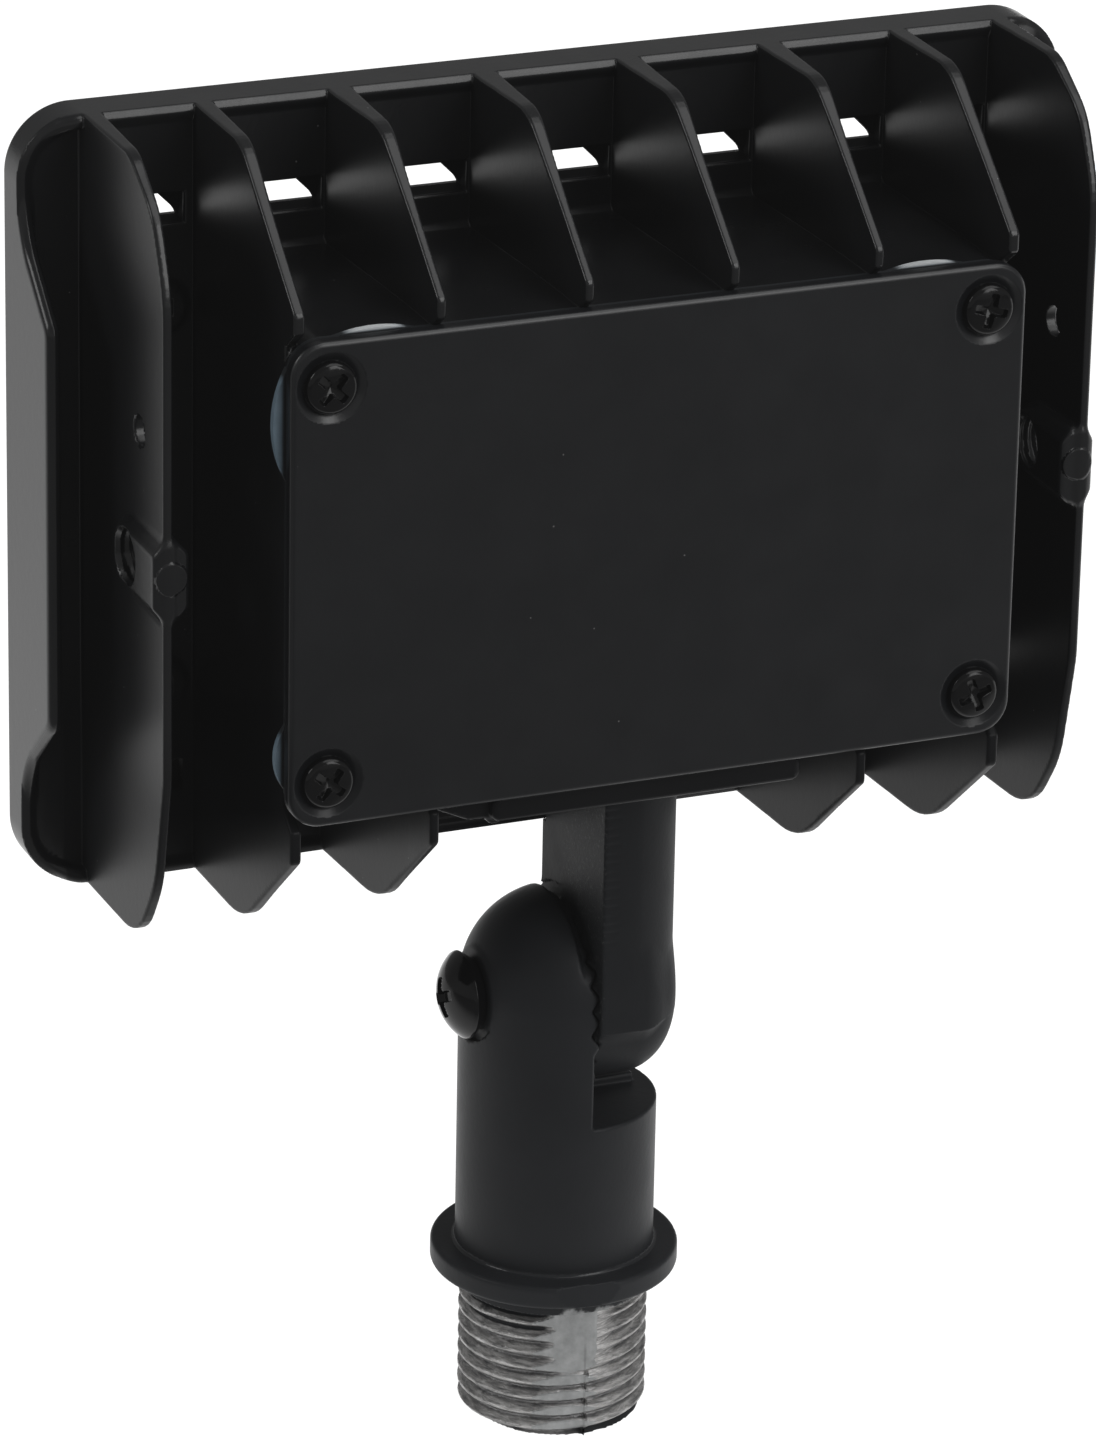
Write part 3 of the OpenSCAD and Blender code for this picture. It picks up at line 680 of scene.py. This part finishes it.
def maths(nt, op, *args):
    n = nt.nodes.new("ShaderNodeMath")
    n.operation = op
    for i, a in enumerate(args):
        if isinstance(a, (int, float)):
            n.inputs[i].default_value = a
        else:
            nt.links.new(a, n.inputs[i])
    return n.outputs["Value"]


def mix(nt, fac, a, b, color=False):
    n = nt.nodes.new("ShaderNodeMix")
    n.data_type = "RGBA" if color else "FLOAT"
    k = 6 if color else 2
    nt.links.new(fac, n.inputs[0])
    for i, c in ((k, a), (k + 1, b)):
        if isinstance(c, (int, float)):
            n.inputs[i].default_value = c
        elif isinstance(c, tuple):
            n.inputs[i].default_value = (*c, 1)
        else:
            nt.links.new(c, n.inputs[i])
    return n.outputs[2 if color else 0]


def powder(name, base, rough, fine, coarse_mm, ior=1.5, slots=False, thread=False, specks=0.0, edge=False):
    """Powder coat: a fine orange-peel surface and slight variation of tone and gloss."""
    m, nt, p = new_mat(name)
    v = coords(nt)
    xyz = nt.nodes.new("ShaderNodeSeparateXYZ")
    nt.links.new(v, xyz.inputs["Vector"])
    tone = ramp(nt, noise(nt, v, 60, 4), [(0.3, tuple(c * 0.86 for c in base)), (0.72, tuple(c * 1.14 for c in base))])
    # a few specks of dust
    cells = nt.nodes.new("ShaderNodeTexVoronoi")
    cells.inputs["Scale"].default_value = 230.0
    nt.links.new(v, cells.inputs["Vector"])
    dust = between(nt, cells.outputs["Distance"], -1.0, 0.016, 0.012)
    nt.links.new(mix(nt, maths(nt, "MULTIPLY", dust, 0.5), tone.outputs["Color"], (0.22, 0.22, 0.22), True), p.inputs["Base Color"])
    gloss = ramp(nt, noise(nt, v, 180, 3), [(0.3, (rough - 0.035,) * 3), (0.7, (rough + 0.035,) * 3)])
    nt.links.new(gloss.outputs["Color"], p.inputs["Roughness"])
    n1 = bump(nt, noise(nt, v, 1000.0 / coarse_mm, 2), 0.000012 * fine, 1.0)
    n2 = bump(nt, noise(nt, v, 5200, 2), 0.000004 * fine, 1.0, n1)
    nt.links.new(n2, p.inputs["Normal"])
    p.inputs["IOR"].default_value = ior
    if edge:
        # glossier where the plate is rounded and dished
        e = between(nt, xyz.outputs["Y"], -0.02452, -0.0236, 0.00006)
        nt.links.new(mix(nt, e, gloss.outputs["Color"], (0.3, 0.3, 0.3), True), p.inputs["Roughness"])
        # painted highlight and shade: the reflection at the rounded edge and dimples is set stronger on the upper part
        # of the plate and weaker low down
        low = between(nt, xyz.outputs["Z"], HC / 1000 - 0.012, 1.0, 0.012)
        nt.links.new(mix(nt, e, 0.5, mix(nt, low, 0.35, 0.75)), p.inputs["Specular IOR Level"])
    if specks:
        # pitted skin of the mating face and the mould line beside it
        pits = noise(nt, v, 2600, 4, 0.75)
        near = between(nt, xyz.outputs["X"], -0.001, 0.00025, 0.0003)
        near = maths(nt, "MULTIPLY", near, between(nt, xyz.outputs["Y"], -1.0, -0.002, 0.004))
        dots = maths(nt, "MULTIPLY", near, between(nt, pits, 0.63, 1.0, 0.05))
        nt.links.new(mix(nt, dots, tone.outputs["Color"], (specks,) * 3, True), p.inputs["Base Color"])
        nt.links.new(bump(nt, maths(nt, "MULTIPLY", pits, near), 0.00003, 1.0, n2), p.inputs["Normal"])
    if slots:
        # rougher low down between the fins, with weaker reflection there: painted shade low down
        low = node(nt, "ShaderNodeMapRange", interpolation_type="SMOOTHSTEP")
        low.inputs["From Min"].default_value, low.inputs["From Max"].default_value = HC / 1000 - 0.014, HC / 1000 - 0.027
        nt.links.new(xyz.outputs["Z"], low.inputs["Value"])
        low = maths(nt, "MULTIPLY", low.outputs["Result"], between(nt, maths(nt, "ABSOLUTE", xyz.outputs["X"]), -1.0, 0.054, 0.0005))
        # rough inside the vent slots, and with its reflection nearly taken away there: painted shade in the slots
        z = maths(nt, "ABSOLUTE", maths(nt, "SUBTRACT", xyz.outputs["Z"], HC / 1000))
        x = maths(nt, "ABSOLUTE", xyz.outputs["X"])
        f = maths(nt, "MULTIPLY", between(nt, z, 0.0294, 0.0336, 0.0002), between(nt, xyz.outputs["Y"], 0.0063, 0.0096, 0.0003))
        f = maths(nt, "MULTIPLY", f, between(nt, x, -1.0, 0.0502, 0.0001))
        # the flanks of the fins are less smooth than their edges
        geo = nt.nodes.new("ShaderNodeNewGeometry")
        facing = nt.nodes.new("ShaderNodeSeparateXYZ")
        nt.links.new(geo.outputs["Normal"], facing.inputs["Vector"])
        flank = between(nt, maths(nt, "ABSOLUTE", facing.outputs["X"]), 0.96, 2.0, 0.08)
        dull = mix(nt, flank, gloss.outputs["Color"], (0.33, 0.33, 0.33), True)
        dull = mix(nt, low, dull, (0.36, 0.36, 0.36), True)
        nt.links.new(mix(nt, f, dull, (0.6, 0.6, 0.6), True), p.inputs["Roughness"])
        inner = between(nt, maths(nt, "ABSOLUTE", xyz.outputs["X"]), -1.0, 0.0495, 0.0005)
        level = mix(nt, low, 0.5, mix(nt, inner, 0.17, 0.12))
        # painted shade: the reflection is taken away in a sloping band below the vent slots, between the end fins
        slope = maths(nt, "ADD", xyz.outputs["Z"], maths(nt, "MULTIPLY", xyz.outputs["Y"], 0.39))
        beside = maths(nt, "MULTIPLY", inner, between(nt, slope, HC / 1000 - 0.0335, HC / 1000 - 0.022, 0.003))
        level = mix(nt, beside, level, 0.0)
        nt.links.new(mix(nt, f, level, 0.02), p.inputs["Specular IOR Level"])
    if thread:
        # bare die-cast metal below the flange, with the coat's overspray on the first turns
        n = noise(nt, v, 420, 4, 0.6)
        x, y, z = (xyz.outputs[k] for k in "XYZ")
        rho = maths(nt, "SQRT", maths(nt, "ADD", maths(nt, "MULTIPLY", x, x), maths(nt, "MULTIPLY", y, y)))
        flat = maths(nt, "ADD", maths(nt, "MULTIPLY", x, -0.2453), maths(nt, "MULTIPLY", y, -0.9694))
        flat = between(nt, flat, 0.00979, 1.0, 0.00003)
        root = maths(nt, "SUBTRACT", 1.0, between(nt, maths(nt, "ADD", rho, maths(nt, "MULTIPLY", maths(nt, "SUBTRACT", n, 0.5), 0.0007)), 0.00988, 1.0, 0.00035))
        root = maths(nt, "MULTIPLY", root, maths(nt, "SUBTRACT", 1.0, flat))
        edge = maths(nt, "ADD", z, maths(nt, "MULTIPLY", maths(nt, "SUBTRACT", n, 0.5), 0.0035))
        across = maths(nt, "ADD", maths(nt, "MULTIPLY", x, 0.922), maths(nt, "MULTIPLY", y, -0.387))
        spray = between(nt, across, -0.0086, -0.0015, 0.003)
        edge = maths(nt, "ADD", edge, maths(nt, "MULTIPLY", spray, maths(nt, "ADD", maths(nt, "MULTIPLY", root, 0.0022), 0.0012)))
        f = node(nt, "ShaderNodeMapRange", interpolation_type="SMOOTHSTEP")
        f.inputs["From Min"].default_value, f.inputs["From Max"].default_value = -0.0013, -0.0021
        nt.links.new(edge, f.inputs["Value"])
        f = f.outputs["Result"]
        # black left at the free end, on the right
        tail = maths(nt, "ADD", xyz.outputs["Z"], maths(nt, "MULTIPLY", maths(nt, "SUBTRACT", n, 0.5), 0.0012))
        tip = node(nt, "ShaderNodeMapRange", interpolation_type="SMOOTHSTEP")
        tip.inputs["From Min"].default_value, tip.inputs["From Max"].default_value = -0.0161, -0.0167
        nt.links.new(tail, tip.inputs["Value"])
        tip = maths(nt, "MULTIPLY", tip.outputs["Result"], between(nt, across, 0.0035, 1.0, 0.003))
        f = maths(nt, "MULTIPLY", f, maths(nt, "SUBTRACT", 1.0, tip))
        seam = maths(nt, "MULTIPLY", between(nt, x, -0.00032, -0.00014, 0.00006), between(nt, y, -1.0, 0.0, 0.0001))
        seam = maths(nt, "MULTIPLY", seam, between(nt, z, -1.0, -0.007, 0.002))
        st = nt.nodes.new("ShaderNodeMapping")
        st.inputs["Scale"].default_value = (1, 1, 8)
        nt.links.new(v, st.inputs["Vector"])
        grain = ramp(nt, noise(nt, st.outputs["Vector"], 430, 6, 0.72, 0.5),
                     [(0.32, (0.08, 0.082, 0.086)), (0.5, (0.29, 0.285, 0.28)), (0.7, (0.56, 0.555, 0.55))])
        plain = ramp(nt, noise(nt, v, 700, 4, 0.6), [(0.3, (0.21, 0.215, 0.215)), (0.7, (0.3, 0.305, 0.305))])
        metal = mix(nt, flat, grain.outputs["Color"], plain.outputs["Color"], True)
        # the thread roots painted darker: painted shade in the grooves
        metal = mix(nt, maths(nt, "MULTIPLY", root, 0.52), metal, (0.045, 0.046, 0.05), True)
        metal = mix(nt, maths(nt, "MULTIPLY", seam, 0.25), metal, (0.04, 0.04, 0.04), True)
        nt.links.new(mix(nt, f, tone.outputs["Color"], metal, True), p.inputs["Base Color"])
        g = ramp(nt, noise(nt, v, 900, 3), [(0.3, (0.36,) * 3), (0.7, (0.56,) * 3)])
        # a glossier line where the flange meets the stem, its reflection also made stronger: a painted highlight
        ring = maths(nt, "MULTIPLY", between(nt, rho, 0.01088, 0.01125, 0.00006), between(nt, z, 0.00255, 0.003, 0.0001))
        coat = mix(nt, ring, gloss.outputs["Color"], (0.16, 0.16, 0.16), True)
        nt.links.new(mix(nt, f, coat, g.outputs["Color"], True), p.inputs["Roughness"])
        nt.links.new(mix(nt, ring, 0.5, 1.0), p.inputs["Specular IOR Level"])
        nt.links.new(mix(nt, f, 0.0, 0.75), p.inputs["Metallic"])
        rough_cast = maths(nt, "MULTIPLY", noise(nt, v, 1500, 4, 0.6), maths(nt, "MULTIPLY", f, maths(nt, "SUBTRACT", 1.0, maths(nt, "MULTIPLY", flat, 0.75))))
        nt.links.new(bump(nt, rough_cast, 0.00007, 1.0, n2), p.inputs["Normal"])
    return m


def simple(name, color, rough, metallic=0.0, ior=1.5, bump_mm=0.0, scale=2000, variation=0.08):
    m, nt, p = new_mat(name)
    v = coords(nt)
    tone = ramp(nt, noise(nt, v, 150, 4), [(0.3, tuple(c * (1 - variation) for c in color)), (0.7, tuple(min(1, c * (1 + variation)) for c in color))])
    nt.links.new(tone.outputs["Color"], p.inputs["Base Color"])
    g = ramp(nt, noise(nt, v, 400, 3), [(0.3, (max(0.02, rough - 0.04),) * 3), (0.7, (rough + 0.04,) * 3)])
    nt.links.new(g.outputs["Color"], p.inputs["Roughness"])
    p.inputs["Metallic"].default_value = metallic
    p.inputs["IOR"].default_value = ior
    if bump_mm:
        nt.links.new(bump(nt, noise(nt, v, scale, 3), bump_mm / 1000), p.inputs["Normal"])
    return m


M = {}
M["cast"] = powder("black_powder_coat", (0.0066, 0.0069, 0.0076), 0.245, 1.0, 0.9, 1.4, slots=True)
M["cover"] = powder("matte_black_plate", (0.0055, 0.006, 0.0071), 0.4, 1.0, 0.8, 1.36, edge=True)
M["knuckle"] = powder("knuckle_powder_coat", (0.0138, 0.0147, 0.0162), 0.5, 1.8, 0.6, 1.16, specks=0.05)
M["stem"] = powder("knuckle_coat_and_bare_thread", (0.0158, 0.0168, 0.0186), 0.43, 1.6, 0.7, 1.21, thread=True)
M["screw"] = simple("black_oxide", (0.0025, 0.0025, 0.0028), 0.13, 0.0, 1.31, 0.004, 3000)
M["zinc"] = simple("zinc_plate", (0.62, 0.62, 0.64), 0.3, 1.0, 1.5, 0.003, 3000)
m, nt, p = new_mat("silicone_grey")
v = coords(nt)
xyz = nt.nodes.new("ShaderNodeSeparateXYZ")
nt.links.new(v, xyz.inputs["Vector"])
pale = ramp(nt, noise(nt, v, 300, 4), [(0.3, (0.09, 0.13, 0.165)), (0.7, (0.15, 0.205, 0.25))])
# the silicone's pale blue-grey shows only where it swells out past the cover's edge; elsewhere it is painted near
# black, a painted shade in the gap under the cover
gx = node(nt, "ShaderNodeMapRange", interpolation_type="SMOOTHSTEP")
gx.inputs["From Min"].default_value, gx.inputs["From Max"].default_value = 0.0407, 0.0411
nt.links.new(maths(nt, "ABSOLUTE", xyz.outputs["X"]), gx.inputs["Value"])
gz = node(nt, "ShaderNodeMapRange", interpolation_type="SMOOTHSTEP")
gz.inputs["From Min"].default_value, gz.inputs["From Max"].default_value = 0.0262, 0.0265
nt.links.new(maths(nt, "ABSOLUTE", maths(nt, "SUBTRACT", xyz.outputs["Z"], HC / 1000)), gz.inputs["Value"])
swell = maths(nt, "MAXIMUM", gx.outputs["Result"], gz.outputs["Result"])
# the top of the swell painted near white: a painted highlight
over = between(nt, xyz.outputs["Z"], HC / 1000 + 0.0258, 1.0, 0.0002)
nt.links.new(mix(nt, maths(nt, "MULTIPLY", over, swell), mix(nt, swell, (0.01, 0.012, 0.014), pale.outputs["Color"], True), (0.5, 0.52, 0.53), True), p.inputs["Base Color"])
p.inputs["Roughness"].default_value = 0.55
p.inputs["IOR"].default_value = 1.4
nt.links.new(bump(nt, noise(nt, v, 2500, 3), 0.000006), p.inputs["Normal"])
M["gasket"] = m
M["clear_silicone"] = simple("silicone_milky", (0.72, 0.74, 0.75), 0.45, 0.0, 1.42)
M["rubber"] = simple("epdm", (0.02, 0.02, 0.021), 0.6, 0.0, 1.5, 0.01, 1800)
M["rubber_red"] = simple("red_silicone", (0.4, 0.09, 0.05), 0.5, 0.0, 1.42)
M["film"] = simple("film", (0.8, 0.77, 0.66), 0.4)
M["pcb_green"] = simple("solder_mask_green", (0.015, 0.12, 0.045), 0.25, 0.0, 1.55, 0.004, 900)
M["pcb_white"] = simple("solder_mask_white", (0.82, 0.83, 0.82), 0.3, 0.0, 1.55)
M["yellow"] = simple("yellow_tape", (0.6, 0.42, 0.05), 0.35)
M["sleeve"] = simple("capacitor_sleeve", (0.02, 0.03, 0.07), 0.25)
M["copper"] = simple("enamelled_copper", (0.5, 0.19, 0.07), 0.3, 0.7)
M["epoxy"] = simple("moulded_epoxy", (0.02, 0.02, 0.02), 0.45)
M["term"] = simple("terminal_green", (0.03, 0.2, 0.08), 0.35)
M["pad"] = simple("thermal_pad", (0.62, 0.33, 0.42), 0.6)
M["led"] = simple("phosphor", (0.85, 0.66, 0.12), 0.35)
M["lead"] = simple("lead_red", (0.45, 0.02, 0.02), 0.35)
M["bright"] = simple("metallised", (0.86, 0.86, 0.87), 0.14, 1.0, 1.5)

m, nt, p = new_mat("tempered_glass")
p.inputs["Base Color"].default_value = (0.93, 0.98, 0.96, 1)
p.inputs["Roughness"].default_value = 0.03
p.inputs["IOR"].default_value = 1.52
p.inputs["Transmission Weight"].default_value = 1.0
M["glass"] = m


def place(ob, body, slot, *nodes):
    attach(ob, body)
    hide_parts(*nodes)
    return ob


place(make_housing(M["cast"]), "head", "cast_black", "housing")
place(make_cover(M["cover"]), "head", "cover_black", "rear_cover")
place(make_base(M["stem"]), "stem", "knuckle_black", "knuckle_base")
place(make_arm(M["knuckle"]), "head", "knuckle_black", "upper_arm")

cs = screw_set("cover_screw_set", [(sx * 36.4, -23.85, HC + sz * 21.4) for sx, sz in ((-1, 1), (1, 1), (-1, -1), (1, -1))],
               6000, M["screw"], pan_field(2.78, 1.55, 2.0, 0.47, 1.25, 1.5, 9, 0.42), 2.9, -9.4, 1.7, 0.1,
               turns=(47, 75, 52, 20))
place(cs, "head", "screw_black", "cover_screws")

U = steps(-5.4, 5.4, 0.11)
bolt = solid("domed_pivot_bolt_one", bolt_field, U, steps(-18.5, 4.5, 0.11, [(-0.5, 4.5, 0.1)]), U, 16000,
             (0, 0, 0), 1, M["screw"])
bolt.matrix_world = (Matrix.Translation(Vector((-9.9, 0, PZ)) / 1000) @ Matrix.Rotation(math.radians(90), 4, "Z")
                     @ Matrix.Rotation(math.radians(28), 4, "Y"))
bolt = join_objects("domed_pivot_bolt", [bolt])
place(bolt, "head", "screw_black", "pivot_bolt")

ASSIGN = {
    "arm_gasket": "rubber", "arm_screws": "zinc", "supply_lead_seal": "rubber_red",
    "cover_gasket": "gasket", "driver_insulator": "film", "driver_board": "pcb_green", "driver_board_screws": "zinc",
    "driver_transformer": "yellow", "driver_capacitors": "sleeve", "driver_inductor": "copper",
    "driver_rectifier": "epoxy", "driver_switch": "epoxy", "driver_terminals": "term", "thermal_pad": "pad",
    "led_board": "pcb_white", "led_board_screws": "zinc", "led_chips": "led", "led_leads": "lead",
    "lead_grommet": "rubber", "reflector": "bright", "lens_gasket": "clear_silicone", "lens": "glass",
    "lens_bezel": "cast", "bezel_screws": "screw",
}
for name, mat in ASSIGN.items():
    o = N[name]
    o.data.materials.clear()
    o.data.materials.append(M[mat])
    bev = o.modifiers.new("soft_edges", "BEVEL")
    bev.width = 0.00018
    bev.segments = 2
    bev.limit_method = "ANGLE"
    bev.angle_limit = math.radians(35)
    bev.harden_normals = True

# ---------------------------------------------------------------- floor, light, camera
scene = bpy.context.scene
scene.view_settings.view_transform = "Standard"
scene.view_settings.look = "None"
scene.view_settings.exposure = 0.0
scene.view_settings.gamma = 1.0
# a photograph's black is never quite zero
scene.view_settings.use_curve_mapping = True
curve = scene.view_settings.curve_mapping.curves[3]
curve.points[0].location = (0.0, 0.0042)
for q in curve.points:
    q.handle_type = "VECTOR"
scene.view_settings.curve_mapping.update()

bpy.ops.mesh.primitive_plane_add(size=6, location=(0, 0, -0.0175))
floor = bpy.context.active_object
floor.name = "floor"
m, nt, p = new_mat("pale_floor")
p.inputs["Base Color"].default_value = (0.18, 0.18, 0.18, 1)
p.inputs["Roughness"].default_value = 0.9
p.inputs["Specular IOR Level"].default_value = 0.0
p.inputs["Emission Color"].default_value = (1, 1, 1, 1)
sep = nt.nodes.new("ShaderNodeSeparateXYZ")
nt.links.new(coords(nt), sep.inputs["Vector"])
toward = maths(nt, "ADD", maths(nt, "MULTIPLY", sep.outputs["X"], -0.387), maths(nt, "MULTIPLY", sep.outputs["Y"], -0.922))
fade = node(nt, "ShaderNodeMapRange", interpolation_type="SMOOTHSTEP")
for key, v in (("From Min", 0.022), ("From Max", 0.1), ("To Min", 1.02), ("To Max", 0.1)):
    fade.inputs[key].default_value = v
nt.links.new(toward, fade.inputs["Value"])
across = maths(nt, "ADD", maths(nt, "MULTIPLY", sep.outputs["X"], 0.922), maths(nt, "MULTIPLY", sep.outputs["Y"], -0.387))
wing = node(nt, "ShaderNodeMapRange", interpolation_type="SMOOTHSTEP")
for key, v in (("From Min", -0.13), ("From Max", -0.3), ("To Min", 1.0), ("To Max", 0.78)):
    wing.inputs[key].default_value = v
nt.links.new(across, wing.inputs["Value"])
nt.links.new(maths(nt, "MULTIPLY", fade.outputs["Result"], wing.outputs["Result"]), p.inputs["Emission Strength"])
floor.data.materials.append(m)

world = bpy.data.worlds.new("studio")
scene.world = world
world.use_nodes = True
wn = world.node_tree
bg = wn.nodes["Background"]
bg.inputs["Color"].default_value = (1, 1, 1, 1)
tc = wn.nodes.new("ShaderNodeTexCoord")
sp = wn.nodes.new("ShaderNodeSeparateXYZ")
wn.links.new(tc.outputs["Generated"], sp.inputs["Vector"])
near = maths(wn, "ADD", maths(wn, "MULTIPLY", sp.outputs["X"], -0.387), maths(wn, "MULTIPLY", sp.outputs["Y"], -0.922))
high = node(wn, "ShaderNodeMapRange", interpolation_type="SMOOTHSTEP")
for key, val in (("From Min", 0.25), ("From Max", 0.55), ("To Min", 0.4), ("To Max", 0.3)):
    high.inputs[key].default_value = val
wn.links.new(sp.outputs["Z"], high.inputs["Value"])
side = node(wn, "ShaderNodeMapRange", interpolation_type="SMOOTHSTEP")
for key, val in (("From Min", -0.35), ("From Max", 0.3)):
    side.inputs[key].default_value = val
wn.links.new(near, side.inputs["Value"])
wn.links.new(mix(wn, side.outputs["Result"], 0.22, high.outputs["Result"]), bg.inputs["Strength"])

# camera, fitted to the photo
AZ, EL, ROLL = math.radians(22.76), math.radians(22.074), math.radians(1.135)
DIST, F_PX, TX, TZ = 0.819813, 7660.933, -0.001751, 0.080636 - 0.0168
fwd = Vector((math.sin(AZ) * math.cos(EL), math.cos(AZ) * math.cos(EL), -math.sin(EL)))
right = Vector((math.cos(AZ), -math.sin(AZ), 0))
up = right.cross(fwd)
R_ = right * math.cos(ROLL) + up * math.sin(ROLL)
U_ = -right * math.sin(ROLL) + up * math.cos(ROLL)
C_ = right * TX + Vector((0, 0, TZ)) - fwd * DIST
cam_data = bpy.data.cameras.new("camera")
cam = bpy.data.objects.new("camera", cam_data)
bpy.context.collection.objects.link(cam)
rot = Matrix((R_, U_, -fwd)).transposed()
cam.matrix_world = Matrix.Translation(C_) @ rot.to_4x4()
cam_data.sensor_fit = "AUTO"
cam_data.sensor_width = 36
cam_data.lens = F_PX * 36 / 1436
cam_data.clip_start = 0.01
cam_data.clip_end = 30
scene.camera = cam


def area(name, loc, target, size, power, size_y=None, color=(1, 1, 1)):
    d = bpy.data.lights.new(name, "AREA")
    d.shape = "RECTANGLE"
    d.size = size
    d.size_y = size_y or size
    d.energy = power
    d.color = color
    o = bpy.data.objects.new(name, d)
    bpy.context.collection.objects.link(o)
    o.location = loc
    o.rotation_euler = (Vector(target) - Vector(loc)).to_track_quat("-Z", "Y").to_euler()
    return o


area("overhead", (0.4, -0.3, 1.1), (0, 0, 0.09), 0.9, 5.0)
area("front", (0.45, -1.0, 0.65), (0, 0, 0.09), 0.5, 5.5, 0.85)
area("left", (-1.01, 0.1, 0.74), (0, 0, 0.09), 0.4, 2.5)

log("scene built")
